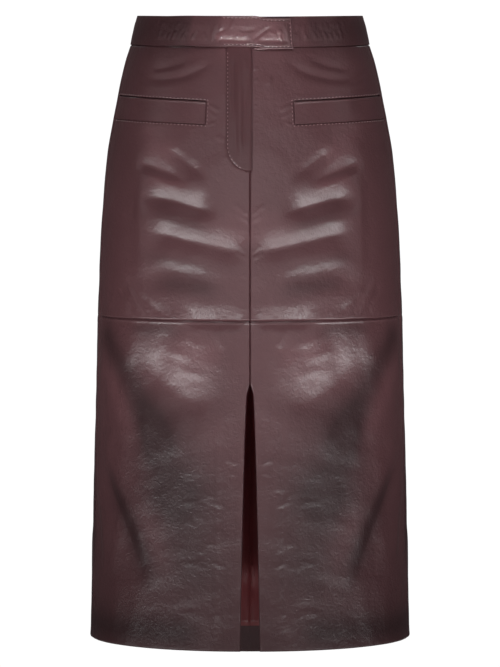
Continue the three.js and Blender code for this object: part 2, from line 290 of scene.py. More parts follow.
# Smaller creases of the front, the same on both sides
FRONT_CREASES = [
    # the strip above and below the middle seam, which the seam holds in
    Crease((20, -341), (84, -334), -0.7, 14, 10, fade=0.1),
    # pulls at the pocket's inner corner
    Crease((12.0, -101.5), (18.0, -91.5), 0.8, 2.2, 1.8),
    Crease((13.2, -109.5), (18.0, -99.0), 0.5, 2.0, 1.6),
    Crease((14.0, -113.0), (18.2, -117.5), 0.4, 2.0, 1.6),
    # pulls at the centre seam
    Crease((0.1, -222), (6.2, -207), 0.8, 2.6, 1.8, fade=0.25),
    Crease((0.1, -230), (4.8, -219), 0.5, 2.2, 1.6, fade=0.25),
    Crease((0.1, -240), (3.6, -236), 0.35, 2.0, 1.6, fade=0.25),
    Crease((0.1, -266), (4.4, -255), 0.6, 2.4, 1.6, fade=0.25),
    Crease((0.1, -272), (5.4, -262), 0.7, 2.4, 1.6, fade=0.25),
    Crease((0.1, -292), (3.4, -289), 0.35, 2.0, 1.6, fade=0.25),
    # short folds at the hip
    Crease((38, -336), (52, -288), -1.0, 7, 5, sharp=1.6),
    Crease((33, -337), (45, -306), -0.7, 6, 5, sharp=1.6),
    Crease((45, -334), (58, -296), -0.9, 7, 5, sharp=1.6),
    Crease((46, -66), (63, -51), 0.5, 3, 3),
    Crease((44, -74), (60, -63), 0.4, 3, 3),
    Crease((70, -352), (84, -236), 1.2, 6, 6, bow=-6),
    # round the light place above the slit
    Crease((9, -377), (13, -350), 0.9, 4, 4),
    Crease((16, -372), (27, -358), 0.5, 5, 4),
    Crease((20, -388), (33, -374), 0.5, 6, 5),
    Crease((15, -408), (28, -396), 0.5, 6, 5),
    # pulls beside the slit, in three groups: each is a wedge that narrows away from the slit
    Crease((14.5, -547), (27.5, -551), 0.55, 2.2, 1.4, fade=0.5),
    Crease((14.0, -554), (26.5, -551), 0.4, 2.4, 2.2, fade=0.5),
    Crease((9, -555), (15, -548), 0.4, 2.4, 1.8),
    Crease((11.5, -546), (16, -541), 0.3, 2.2, 1.8),
    Crease((14, -617), (26, -621), 0.5, 2.2, 1.4, fade=0.5),
    Crease((13.6, -624), (25, -621.5), 0.35, 2.4, 2.2, fade=0.5),
    Crease((8, -626), (14, -618), 0.4, 2.4, 1.8),
    Crease((12, -600), (16.5, -597), 0.4, 2.2, 1.6),
    Crease((14.5, -674), (27, -678), 0.5, 2.2, 1.4, fade=0.5),
    Crease((14, -681), (26, -678.5), 0.35, 2.4, 2.2, fade=0.5),
    Crease((10, -684), (13, -676), 0.35, 2.4, 1.8),
    Crease((3.5, -506), (9, -501), 0.6, 2.4, 1.6),
    Crease((4.0, -516), (8, -519), 0.4, 2.2, 1.6),
    # slivers beside the side seam
    Crease((74, -452), (80, -402), 0.9, 4, 4, bow=2),
    Crease((72, -680), (80, -632), 1.0, 4, 4, bow=-2),
    # the edge of the slit's facing, which shows through
    Crease((11.8, -445), (12.6, -722), -0.28, 1.6, 3.2, fade=0.1),
]

# Smaller creases of the back, the same on both sides
BACK_CREASES = [
    Crease((96, -341), (184, -337), -1.4, 26, 30, fade=0.02),
    # the dart, and the fold that it sends down
    Crease((151, -12), (154, -128), -1.1, 1.1, 1.1, fade=0.12),
    Crease((153, -116), (156, -176), 0.8, 7, 7),
    # creases from sitting
    Crease((136, -196), (170, -214), 1.6, 11, 6, bow=-3),
    Crease((132, -228), (160, -240), 1.3, 9, 5, bow=-2),
    Crease((148, -318), (174, -322), 1.2, 9, 6),
    Crease((95, -168), (116, -150), 1.1, 8, 6),
    Crease((93, -226), (114, -206), 1.2, 9, 6),
    Crease((92, -288), (110, -262), 1.0, 8, 6),
    Crease((172, -214), (179.8, -226), 0.6, 2.6, 1.8, fade=0.25),
    Crease((173, -262), (179.8, -272), 0.6, 2.6, 1.8, fade=0.25),
    Crease((168, -420), (178, -432), 0.8, 6, 4),
    Crease((160, -468), (172, -486), 0.9, 8, 5),
    Crease((120, -402), (134, -388), 0.8, 8, 5),
    Crease((170, -590), (179, -600), 0.7, 4, 3),
    Crease((152, -642), (168, -650), 0.8, 5, 3),
]


# Each pucker takes a part of the full measure, between these two
PUCKER_FIRST = (0.2, 1.0)
PUCKER_LENGTHS = (0.45, 1.0)
PUCKER_HEIGHTS = (0.3, 1.0)
PUCKER_SPACINGS = (0.6, 1.5)


def puckers(start, end, pitch, reach, height, width, seed, lean=0.3):
    """Short creases across a row of stitches from start to end, uneven in spacing, length and height.
    They run from reach[0] to reach[1] millimetres to the left of the way from start to end."""
    rng = random.Random(seed)
    way = np.array([(end[0] - start[0]) * MM_PER_DEGREE, end[1] - start[1]])
    length = np.linalg.norm(way)
    way /= length
    left = np.array([-way[1], way[0]])
    origin = np.array([start[0] * MM_PER_DEGREE, start[1]])
    made = []
    at = rng.uniform(*PUCKER_FIRST) * pitch
    while at < length:
        far = mix(*reach, rng.uniform(*PUCKER_LENGTHS))
        foot = origin + way * at + left * reach[0]
        tip = origin + way * (at + rng.uniform(-lean, lean) * abs(far)) + left * far
        made.append(Crease((foot[0] / MM_PER_DEGREE, foot[1]), (tip[0] / MM_PER_DEGREE, tip[1]),
                           height * rng.uniform(*PUCKER_HEIGHTS), width, width, fade=0.3))
        at += pitch * rng.uniform(*PUCKER_SPACINGS)
    return made


FRONT_PUCKERS = (
    puckers((5, -342.5), (30, -339.5), 4.0, (-1, 15), 0.55, 1.4, seed=1)
    + puckers((30, -339.5), (70, -335), 6.0, (-1, 10), 0.35, 1.5, seed=2)
    + puckers((70, -334.6), (2, -342.4), 7.0, (-1, 11), 0.3, 1.5, seed=3)
    + puckers((20, -25), (75, -18), 8.0, (-12, 1), 0.3, 1.8, seed=4)
    + puckers((0.2, -400), (0.2, -176), 8.0, (-10, 0), 0.3, 1.5, seed=5)
    + puckers((19, -87.5), (74, -77.5), 4.4, (1, 8), 0.32, 1.2, seed=6)
    + puckers((74, -107), (19, -117.5), 4.4, (1, 8), 0.28, 1.2, seed=7)
    + puckers((77.8, -30), (77.8, -330), 10.0, (-9, 0), 0.3, 1.6, seed=8)
    + puckers((77.8, -340), (77.8, -700), 12.0, (-9, 0), 0.3, 1.6, seed=9)
    + puckers((11.6, -520), (12.4, -716), 5.0, (-7, 5), 0.3, 1.3, seed=10)
)

BACK_PUCKERS = (
    puckers((82, -335), (178, -337), 6.0, (-1, 10), 0.32, 1.5, seed=11)
    + puckers((178, -337.5), (82, -335.5), 7.0, (-1, 10), 0.28, 1.5, seed=12)
    + puckers((179.9, -25), (179.9, -720), 9.0, (-10, 0), 0.3, 1.6, seed=13)
    + puckers((78.2, -700), (78.2, -30), 11.0, (-9, 0), 0.3, 1.6, seed=14)
    + puckers((100, -17), (176, -16), 8.0, (-12, 1), 0.3, 1.8, seed=15)
    + puckers((151.2, -20), (153.6, -120), 7.0, (-6, 6), 0.22, 1.6, seed=16)
)


# The waves of a worn hide: how many run through each other, how long they are, and how high, which is less
# on the panels that the pockets hold
HIDE_WAVE_COUNT = 14
HIDE_WAVE_LENGTHS = (25, 70)
HIDE_WAVE_HEIGHT = 0.25
POCKET_WAVE_HEIGHT = 0.22


def hide_waves(spot, height, seed):
    """The slight unevenness of a hide that is worn in: waves that run all ways, the same on both sides"""
    rng = random.Random(seed)
    x = np.abs(spot.turn) * MM_PER_DEGREE
    out = np.zeros_like(spot.z)
    for _ in range(HIDE_WAVE_COUNT):
        wave = rng.uniform(*HIDE_WAVE_LENGTHS)
        way = rng.uniform(0, math.tau)
        phase = rng.uniform(0, math.tau)
        out += np.sin((x * math.cos(way) + spot.z * math.sin(way)) * math.tau / wave + phase)
    return out * height / math.sqrt(HIDE_WAVE_COUNT)


# Meshes

# Steps across a cut when it is measured, and samples when a grid's lines are crowded together
CUT_STEPS = 41
CROWD_SAMPLES = 4001

# An edge is rounded where the faces beside it turn by more than this
EDGE_ANGLE = 50
EDGE_SEGMENTS = 3


def mesh_of(name, shape):
    mesh = bpy.data.meshes.new(name)
    shape.to_mesh(mesh)
    shape.free()
    return mesh


def put_in_scene(name, data):
    thing = bpy.data.objects.new(name, data)
    bpy.context.scene.collection.objects.link(thing)
    return thing


def crowded(count, places=(), gain=3.0, width=0.03):
    """count + 1 numbers from 0 to 1, closer together round each of the places"""
    t = np.linspace(0, 1, CROWD_SAMPLES)
    density = np.ones_like(t)
    for place in places:
        density += gain * bell(t - place, width)
    total = np.concatenate([[0], np.cumsum((density[1:] + density[:-1]) / 2)])
    return np.interp(np.linspace(0, 1, count + 1), total / total[-1], t)


def leather_grid(name, us, vs, place):
    """A grid over the skirt. place(u, v) gives arrays of turn, z and the offset from the body surface,
    u runs with the turn and v runs down, so that the faces point outwards."""
    shape = bmesh.new()
    bmesh.ops.create_grid(shape, x_segments=len(us) - 1, y_segments=len(vs) - 1, size=0.5)
    mesh = mesh_of(name, shape)
    flat = np.empty(len(mesh.vertices) * 3)
    mesh.vertices.foreach_get("co", flat)
    flat = flat.reshape(-1, 3)
    u = us[np.rint((flat[:, 0] + 0.5) * (len(us) - 1)).astype(int)]
    v = vs[np.rint((0.5 - flat[:, 1]) * (len(vs) - 1)).astype(int)]
    turn, z, offset = place(u, v)
    points = body_point(turn, z) + body_normal(turn, z) * offset[:, None]
    mesh.vertices.foreach_set("co", (points * MM).ravel())
    # Painted shade and painted light, stored on each point so that the leather's colour is darkened or
    # lightened
    painted_light_and_shade = mesh.attributes.new("painted_light_and_shade", "FLOAT", "POINT")
    painted_light_and_shade.data.foreach_set("value", np.clip(relief(np.abs(wrapped(turn)), z, PAINTED_LIGHT_AND_SHADE_MARKS), -1, 1))
    mesh.shade_smooth()
    mesh.update()
    return put_in_scene(name, mesh)


def declare_cut(place):
    """Works out the turns and heights of a grid's place at CUT_STEPS steps each way, and does nothing more
    with them"""
    steps = np.linspace(0, 1, CUT_STEPS)
    v, u = (side.ravel() for side in np.meshgrid(steps, steps, indexing="ij"))
    turn, z, _ = place(u, v)


def give_wall(piece, thickness, edge=0.0):
    """Thickens a grid inwards, and rounds its edges where edge is given"""
    wall = piece.modifiers.new("wall", "SOLIDIFY")
    wall.thickness = thickness * MM
    wall.offset = -1
    wall.use_quality_normals = True
    if edge:
        round_edge = piece.modifiers.new("edge", "BEVEL")
        round_edge.width = edge * MM
        round_edge.segments = EDGE_SEGMENTS
        round_edge.limit_method = "ANGLE"
        round_edge.angle_limit = math.radians(EDGE_ANGLE)


# Materials

def linear(hex_colour):
    """An sRGB hex colour as linear RGBA"""
    channels = [int(hex_colour[i:i + 2], 16) / 255 for i in (1, 3, 5)]
    return [c / 12.92 if c <= 0.04045 else ((c + 0.055) / 1.055) ** 2.4 for c in channels] + [1]


def add(tree, kind, inputs=None, **settings):
    """Adds a node with its settings and its inputs, each a value or another node's output"""
    node = tree.nodes.new(kind)
    for name, value in settings.items():
        setattr(node, name, value)
    for name, value in (inputs or {}).items():
        if isinstance(value, bpy.types.NodeSocket):
            tree.links.new(value, node.inputs[name])
        else:
            node.inputs[name].default_value = value
    return node


def new_material(name):
    material = bpy.data.materials.new(name)
    material.use_nodes = True
    tree = material.node_tree
    tree.nodes.clear()
    shader = add(tree, "ShaderNodeBsdfPrincipled")
    output = add(tree, "ShaderNodeOutputMaterial")
    tree.links.new(shader.outputs["BSDF"], output.inputs["Surface"])
    return material, tree, shader


def per_metre(size_mm):
    """A pattern's scale from the real size of one of its marks"""
    return 1000 / size_mm


# How far painted shade or painted light of 1 or -1 changes the colour
PAINTED_LIGHT_AND_SHADE_STRENGTH = 0.6


def nappa(name, light, dark, roughness):
    """Lamb nappa, drum dyed and lightly plated: a soft shine with an even fine grain, and a colour that
    clouds a little from place to place, darkened by painted shade and lightened by painted light. The
    grain's pebbles are drawn at 1.6 mm, coarser than the real 0.6 mm, so that they show."""
    material, tree, shader = new_material(name)
    place = add(tree, "ShaderNodeTexCoord").outputs["Object"]
    clouds = add(tree, "ShaderNodeTexNoise", {"Vector": place, "Scale": per_metre(55), "Detail": 5.0,
                                              "Roughness": 0.6})
    colour = add(tree, "ShaderNodeMix", {0: clouds.outputs["Fac"], 6: linear(dark), 7: linear(light)},
                 data_type="RGBA")
    # Painted shade and painted light: the points' attribute darkens or lightens the colour
    painted_light_and_shade = add(tree, "ShaderNodeAttribute", attribute_name="painted_light_and_shade")
    lightness = add(tree, "ShaderNodeMath", {0: painted_light_and_shade.outputs["Fac"], 1: PAINTED_LIGHT_AND_SHADE_STRENGTH, 2: 1.0},
                    operation="MULTIPLY_ADD")
    colour_with_painted_light_and_shade = add(tree, "ShaderNodeVectorMath", {0: colour.outputs[2], "Scale": lightness.outputs[0]},
                      operation="SCALE")
    tree.links.new(colour_with_painted_light_and_shade.outputs[0], shader.inputs["Base Color"])
    waves = add(tree, "ShaderNodeTexNoise", {"Vector": place, "Scale": per_metre(14), "Detail": 3.0})
    lines = add(tree, "ShaderNodeTexNoise", {"Vector": place, "Scale": per_metre(3.2), "Detail": 3.0,
                                             "Distortion": 0.6})
    pebbles = add(tree, "ShaderNodeTexVoronoi", {"Vector": place, "Scale": per_metre(1.6)},
                  feature="SMOOTH_F1")
    hide = add(tree, "ShaderNodeBump", {"Height": waves.outputs["Fac"], "Distance": 0.9 * MM,
                                        "Strength": 0.7})
    crinkle = add(tree, "ShaderNodeBump", {"Height": lines.outputs["Fac"], "Distance": 0.4 * MM,
                                           "Strength": 0.8, "Normal": hide.outputs["Normal"]})
    grain = add(tree, "ShaderNodeBump", {"Height": pebbles.outputs["Distance"], "Distance": 0.05 * MM,
                                         "Strength": 0.5, "Normal": crinkle.outputs["Normal"]})
    tree.links.new(grain.outputs["Normal"], shader.inputs["Normal"])
    polish = add(tree, "ShaderNodeMapRange", {"Value": waves.outputs["Fac"], "To Min": roughness - 0.04,
                                              "To Max": roughness + 0.05})
    tree.links.new(polish.outputs["Result"], shader.inputs["Roughness"])
    shader.inputs["IOR"].default_value = 1.5
    return material


def satin(name, light, dark):
    """Polyester satin, woven with long floats: it is smooth, shines along its folds, and looks deeper
    in colour between them. Its threads are drawn 0.5 mm apart, as the real 0.1 mm don't show."""
    material, tree, shader = new_material(name)
    place = add(tree, "ShaderNodeTexCoord").outputs["Object"]
    clouds = add(tree, "ShaderNodeTexNoise", {"Vector": place, "Scale": per_metre(40), "Detail": 3.0})
    colour = add(tree, "ShaderNodeMix", {0: clouds.outputs["Fac"], 6: linear(dark), 7: linear(light)},
                 data_type="RGBA")
    tree.links.new(colour.outputs[2], shader.inputs["Base Color"])
    stretched = add(tree, "ShaderNodeMapping", {"Vector": place, "Scale": (1.0, 1.0, 0.08)})
    threads = add(tree, "ShaderNodeTexNoise", {"Vector": stretched.outputs["Vector"],
                                               "Scale": per_metre(0.5), "Detail": 1.0})
    weave = add(tree, "ShaderNodeBump", {"Height": threads.outputs["Fac"], "Distance": 0.04 * MM,
                                         "Strength": 0.4})
    tree.links.new(weave.outputs["Normal"], shader.inputs["Normal"])
    shader.inputs["Roughness"].default_value = 0.34
    shader.inputs["Sheen Weight"].default_value = 0.25
    shader.inputs["Sheen Roughness"].default_value = 0.4
    return material


def polyester_thread(name, light, dark):
    """Twisted polyester sewing thread: slightly shiny, a little lighter than the leather, with the
    slant of its twist. The twist is drawn at 0.6 mm."""
    material, tree, shader = new_material(name)
    place = add(tree, "ShaderNodeTexCoord").outputs["Object"]
    twist = add(tree, "ShaderNodeTexNoise", {"Vector": place, "Scale": per_metre(0.6), "Detail": 2.0})
    colour = add(tree, "ShaderNodeMix", {0: twist.outputs["Fac"], 6: linear(dark), 7: linear(light)},
                 data_type="RGBA")
    tree.links.new(colour.outputs[2], shader.inputs["Base Color"])
    ply = add(tree, "ShaderNodeBump", {"Height": twist.outputs["Fac"], "Distance": 0.08 * MM,
                                       "Strength": 0.6})
    tree.links.new(ply.outputs["Normal"], shader.inputs["Normal"])
    shader.inputs["Roughness"].default_value = 0.5
    return material


NAPPA = nappa("burgundy_nappa", "#533639", "#472c2f", 0.32)
# The fly is the same leather in a darker colour, which paints shade on it
NAPPA_FLY_PAINTED_SHADE = nappa("burgundy_nappa_fly_painted_shade", "#4a2b2e", "#3c2225", 0.34)
NAPPA_TURNED = nappa("burgundy_nappa_turned_up", "#503336", "#452b2e", 0.5)
SATIN = satin("red_brown_satin", "#7c3336", "#5c2327")
THREAD = polyester_thread("burgundy_thread", "#94797b", "#735a5c")


def finish(piece, material, node=None):
    """Gives a piece its material, and says what it rides on, which node it replaces"""
    piece.data.materials.append(material)
    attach(piece, BODY)
    if node:
        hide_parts(node)


# The leather panels

def slit_half_width(z):
    hem = HEM.side + HEM.front
    share = np.clip((SLIT_TOP_Z - z) / (SLIT_TOP_Z - hem), 0, 1)
    open_by = mix(SLIT_TOP_HALF_WIDTH, SLIT_HEM_HALF_WIDTH, share ** SLIT_OPENING_POWER)
    tip = CENTRE_GAP / 2 + SLIT_TIP_SLOPE * np.maximum(SLIT_TOP_Z - z, 0)
    return np.minimum(open_by, tip)


class Spot(NamedTuple):
    """Where the points of a panel are, and how far each is from the panel's edges"""
    turn: np.ndarray
    z: np.ndarray
    from_inner: np.ndarray
    from_side: np.ndarray
    from_top: np.ndarray
    from_bottom: np.ndarray


def panel_spot(part, sign, top_line, bottom_line, u, v, margin=0.0):
    """One eighth of the skirt: front or back, on the side given by sign, between two lines"""
    along = u if sign > 0 else 1 - u
    seam_turn = SEAM_GAP / 2 / MM_PER_DEGREE
    guess = mix(0, SIDE_SEAM_TURN, along) if part == "front" else mix(SIDE_SEAM_TURN, 180, along)
    top = line_height(top_line, guess) - SEAM_GAP / 2
    bottom = line_height(bottom_line, guess)
    z = mix(top, bottom, v)
    side = SIDE_SEAM_TURN + (-seam_turn if part == "front" else seam_turn)
    if part == "front":
        half = slit_half_width(z) + np.where(z < SLIT_TOP_Z, margin, 0)
        inner = turn_at_x(half, z)
        turn = mix(inner, side, along)
    else:
        inner = np.full_like(z, 180 - seam_turn)
        turn = mix(side, inner, along)
    pace = mm_per_degree(turn, z)
    return Spot(sign * turn, z, np.abs(turn - inner) * pace, np.abs(turn - side) * pace, top - z, z - bottom)


# How deep and how wide the leather rolls down into a seam, and at the fold of the hem
SEAM_DIP = 1.1
SEAM_ROLL = 1.5
CENTRE_ROLL = 0.7
MIDDLE_ROLL = 0.9
HEM_DIP = 0.7
HEM_ROLL = 1.0

# The ridge that the seam allowance makes below the middle seam
ALLOWANCE_RIDGE = 0.55
ALLOWANCE_BELOW = 2.6
ALLOWANCE_ROLL = 1.4

# The sides pull a level seam flat: by this share, from this turn, as far as this and fading over this
PULLED_SHARE = 0.85
PULLED_TURN = 88
PULLED_REACH = 22
PULLED_FADE = 14


def seam_dip(distance, depth=SEAM_DIP, roll=SEAM_ROLL):
    """The leather rolls down into a seam"""
    return -depth * bell(distance, roll)


def pulled_flat(turn):
    """How much of a level seam's roll is left: little of it at the sides, which pull it flat"""
    away = np.abs(np.abs(turn) - PULLED_TURN)
    return 1 - PULLED_SHARE * smooth((PULLED_REACH - away) / PULLED_FADE)


# The welt of each pocket, and the bed for it in the panel: how deep it is and how the leather dips round
# it, deepest above the welt where the pocket opens
WELT_INNER_TURN = 18.6
WELT_OUTER_TURN = 75.5
WELT_INNER_Z = -89.6
WELT_OUTER_Z = -79.3
WELT_HEIGHT = 25.5
WELT_BED = 1.7
WELT_DIP = 0.8
WELT_DIP_ROLL = 1.4
OPENING_DIP = 2.0
OPENING_ROLL = 0.9
OPENING_ABOVE = 0.8


def welt_distance(turn, z):
    """How far outside the welt's outline a place is, less than 0 inside it, and how far below its top"""
    side_turn = np.abs(turn)
    along = (side_turn - WELT_INNER_TURN) / (WELT_OUTER_TURN - WELT_INNER_TURN)
    down = mix(WELT_INNER_Z, WELT_OUTER_Z, along) - z
    pace = mm_per_degree(turn, z)
    past_ends = np.maximum(WELT_INNER_TURN - side_turn, side_turn - WELT_OUTER_TURN) * pace
    past_edges = np.maximum(-down, down - WELT_HEIGHT)
    outside = np.hypot(np.maximum(past_ends, 0), np.maximum(past_edges, 0))
    return outside + np.minimum(np.maximum(past_ends, past_edges), 0), down


# The fly, a front edge laid over the other side and stitched in the shape of a J, and the bed for it
FLY_LEFT = -27
FLY_RIGHT = 2.0
FLY_CURVE_TOP_Z = -139.5
FLY_BOTTOM_Z = -168.8
FLY_BED = 1.6
FLY_BED_SLOPE = 1.2


def fly_left(z):
    """The left edge of the fly at a height: straight, and then a quarter of an ellipse to its bottom"""
    down = np.maximum(0, FLY_CURVE_TOP_Z - z) / (FLY_CURVE_TOP_Z - FLY_BOTTOM_Z)
    return FLY_LEFT * np.sqrt(np.maximum(0, 1 - down**2))


def fly_cover(turn, z):
    """1 where the fly lies on a place and 0 elsewhere"""
    x = section(HALF_WIDTH, z) * np.sin(np.radians(turn))
    inside = np.minimum(x - fly_left(z), FLY_RIGHT - x)
    inside = np.minimum(inside, z - FLY_BOTTOM_Z)
    return smooth((inside + FLY_BED_SLOPE / 2) / FLY_BED_SLOPE)


FRONT_FOLDS = MAIN_FOLDS + FRONT_CREASES + FRONT_PUCKERS
BACK_FOLDS = MAIN_FOLDS + BACK_CREASES + BACK_PUCKERS

# Creases near the fly, on one side only: here a turn below 0 is on the fly's own side
FLY_CREASES = (
    puckers((-9.9, -140), (-9.7, -34), 5.0, (0.5, 7), 0.3, 1.3, seed=21)
    + puckers((1.2, -40), (1.2, -170), 6.0, (0, 6), 0.35, 1.3, seed=22)
    + [
        # the dark gap below the tab
        Crease((1.2, -29.0), (20.5, -28.0), -1.0, 1.0, 1.2, fade=0.05),
        Crease((1.0, -51.5), (3.6, -51), 0.8, 2.2, 1.6, fade=0.25),
        Crease((1.0, -66), (4.0, -64.5), 0.6, 2.2, 1.6, fade=0.25),
        Crease((7.5, -72), (9.2, -58), 0.7, 3.0, 3.0),
        Crease((-9.4, -136), (-13.8, -128), 0.7, 2.4, 2.4),
        Crease((-9.0, -146), (-12.6, -139), 0.5, 2.2, 2.2),
        Crease((-7.6, -157), (-11.0, -152), 0.45, 2.2, 2.2),
    ]
)
FLY_FOLDS = [
    Crease((-4.9, -30), (-4.0, -160), 0.9, 3.4, 2.6, fade=0.2),
    Crease((-2.2, -62), (-2.4, -152), -1.1, 1.6, 2.2, fade=0.3),
    Crease((-7.6, -34), (-6.8, -112), -1.1, 2.0, 2.0, fade=0.3),
    Crease((-2.6, -34), (-1.2, -60), 0.6, 3.0, 3.0),
    Crease((-6.2, -112), (-4.8, -158), -0.7, 2.2, 2.4),
]


def above_middle_seam(spot):
    """The upper panel rolls into the middle seam"""
    return seam_dip(spot.from_bottom, roll=MIDDLE_ROLL) * pulled_flat(spot.turn)


def below_middle_seam(spot):
    """The lower panel rolls into the middle seam, below which its seam allowance makes a ridge"""
    ridge = ALLOWANCE_RIDGE * bell(spot.from_top - ALLOWANCE_BELOW, ALLOWANCE_ROLL)
    return (seam_dip(spot.from_top) + ridge) * pulled_flat(spot.turn)


def at_hem(spot):
    """The leather rolls over the fold of the hem"""
    return seam_dip(spot.from_bottom, HEM_DIP, HEM_ROLL)


def front_upper_offset(spot):
    out = relief(np.abs(spot.turn), spot.z, FRONT_FOLDS) + relief(spot.turn, spot.z, FLY_CREASES)
    out += hide_waves(spot, POCKET_WAVE_HEIGHT, seed=31)
    outside, down = welt_distance(spot.turn, spot.z)
    out += seam_dip(np.maximum(outside, 0), WELT_DIP, WELT_DIP_ROLL) - WELT_BED * smooth(-outside)
    opening = (np.abs(spot.turn) > WELT_INNER_TURN) & (np.abs(spot.turn) < WELT_OUTER_TURN)
    out += np.where(opening, seam_dip(down + OPENING_ABOVE, OPENING_DIP, OPENING_ROLL), 0)
    out -= FLY_BED * fly_cover(spot.turn, spot.z)
    out += seam_dip(spot.from_top) + seam_dip(spot.from_side)
    out += np.where(spot.z < FLY_BOTTOM_Z, seam_dip(spot.from_inner, roll=CENTRE_ROLL), 0)
    return out + above_middle_seam(spot)


def front_lower_offset(spot):
    out = relief(np.abs(spot.turn), spot.z, FRONT_FOLDS)
    out += hide_waves(spot, HIDE_WAVE_HEIGHT, seed=32)
    out += seam_dip(spot.from_side) + seam_dip(spot.from_inner, roll=CENTRE_ROLL)
    return out + below_middle_seam(spot) + at_hem(spot)


def back_upper_offset(spot):
    out = relief(np.abs(spot.turn), spot.z, BACK_FOLDS)
    out += hide_waves(spot, HIDE_WAVE_HEIGHT, seed=33)
    out += seam_dip(spot.from_top) + seam_dip(spot.from_side) + seam_dip(spot.from_inner)
    return out + above_middle_seam(spot)


def back_lower_offset(spot):
    out = relief(np.abs(spot.turn), spot.z, BACK_FOLDS)
    out += hide_waves(spot, HIDE_WAVE_HEIGHT, seed=34)
    out += seam_dip(spot.from_side) + seam_dip(spot.from_inner)
    return out + below_middle_seam(spot) + at_hem(spot)


def make_panel(name, part, sign, top_line, bottom_line, us, vs, offset):
    us = us if sign > 0 else 1 - us[::-1]

    def place(u, v):
        spot = panel_spot(part, sign, top_line, bottom_line, u, v)
        return spot.turn, spot.z, offset(spot)

    piece = leather_grid(name, us, vs, place)
    give_wall(piece, LEATHER_THICKNESS)
    finish(piece, NAPPA, name)
    if bottom_line == HEM:
        hem = make_hem(name.replace("lower", "hem"), part, sign)
        declare_cut(place)
    else:
        declare_cut(place)


# The turned-up hems

HEM_DEPTH = 33
HEM_THICKNESS = 1.1
HEM_EDGE = 0.35

# The gap between the hem and the panel, which narrows over this height above the fold
HEM_GAP = 0.35
HEM_FOLD_GAP = 0.05
HEM_FOLD_HEIGHT = 2.0

# The groove at centre back, where its two stretches meet
HEM_GROOVE = 0.5
HEM_GROOVE_ROLL = 1.2


def make_hem(name, part, sign):
    top_line = Line(HEM.side + HEM_DEPTH, HEM.front, HEM.back)

    def place(u, v):
        spot = panel_spot(part, sign, top_line, HEM, u, v)
        gap = mix(HEM_GAP, HEM_FOLD_GAP, smooth(1 - spot.from_bottom / HEM_FOLD_HEIGHT))
        out = relief(np.abs(spot.turn), spot.z, MAIN_FOLDS) - LEATHER_THICKNESS - gap
        if part == "back":
            out += HEM_GROOVE * bell((180 - np.abs(spot.turn)) * MM_PER_DEGREE, HEM_GROOVE_ROLL)
        return spot.turn, spot.z, out

    piece = leather_grid(name, crowded(90, (0, 1), 3, 0.02), crowded(14, (1,), 3, 0.1), place)
    give_wall(piece, HEM_THICKNESS, HEM_EDGE)
    finish(piece, NAPPA_TURNED, name)
    return piece


UPPER_FOOT = Line(MIDDLE_SEAM.side + SEAM_GAP / 2, MIDDLE_SEAM.front, MIDDLE_SEAM.back)
for side_name, side_sign in SIDES:
    make_panel(f"front_upper_{side_name}", "front", side_sign, BAND_SEAM, UPPER_FOOT,
               crowded(130, (0, 1, 0.24), 4, 0.02), crowded(230, (0, 1, 0.2, 0.28), 3, 0.02),
               front_upper_offset)
    make_panel(f"front_lower_{side_name}", "front", side_sign, MIDDLE_SEAM, HEM,
               crowded(110, (0, 1), 4, 0.02), crowded(200, (0, 1), 3, 0.015), front_lower_offset)
    make_panel(f"back_upper_{side_name}", "back", side_sign, BAND_SEAM, UPPER_FOOT,
               crowded(90, (0, 1), 4, 0.02), crowded(150, (0, 1), 3, 0.015), back_upper_offset)
    make_panel(f"back_lower_{side_name}", "back", side_sign, MIDDLE_SEAM, HEM,
               crowded(90, (0, 1), 4, 0.02), crowded(160, (0, 1), 3, 0.015), back_lower_offset)


# The lining

LINING_ABOVE_HEM = 31
LINING_SLIT_MARGIN = 16
LINING_COLUMNS = 46
LINING_ROWS = 101

# How far it hangs clear of the leather at its top, and after its first fall, and its loose waves
LINING_TOP_CLEARANCE = 0.45
LINING_LOW_CLEARANCE = 6
LINING_FALL = 90
LINING_WAVE = 1.6
LINING_WAVES_ROUND = 9

# The fold of the lining that shows through the slit, at centre back
LINING_FOLDS = [
    Crease((184, -642), (176, -672), 1.5, 8, 10),
]


def make_lining(name, part, sign):
    top_line = Line(BAND_SEAM.side - SEAM_GAP, BAND_SEAM.front, BAND_SEAM.back)
    bottom_line = Line(HEM.side + LINING_ABOVE_HEM, HEM.front, HEM.back)

    def place(u, v):
        spot = panel_spot(part, sign, top_line, bottom_line, u, v, LINING_SLIT_MARGIN)
        fall = smooth((BAND_SEAM.side - spot.z) / LINING_FALL)
        wave = fall * v * LINING_WAVE * np.sin(np.radians(spot.turn * LINING_WAVES_ROUND))
        out = relief(np.abs(spot.turn), spot.z, MAIN_FOLDS) - LEATHER_THICKNESS
        out += wave - mix(LINING_TOP_CLEARANCE, LINING_LOW_CLEARANCE, fall)
        out += relief(spot.turn % 360, spot.z, LINING_FOLDS)
        return spot.turn, spot.z, out

    piece = leather_grid(name, np.linspace(0, 1, LINING_COLUMNS), np.linspace(0, 1, LINING_ROWS), place)
    give_wall(piece, LINING_THICKNESS)
    finish(piece, SATIN, name)
    declare_cut(place)


for side_name, side_sign in SIDES:
    for part_name in ("front", "back"):
        make_lining(f"{part_name}_lining_{side_name}", part_name, side_sign)


# The waistband

# It starts behind the tab, goes once round and ends as the tab. It stands a little proud of the body
# surface, and is rounded from its top to its seam.
BAND_FROM = -26
BAND_TO = 380
BAND_THICKNESS = 2.6
BAND_EDGE = 0.5
BAND_PROUD = 0.3
BAND_BULGE = 0.7

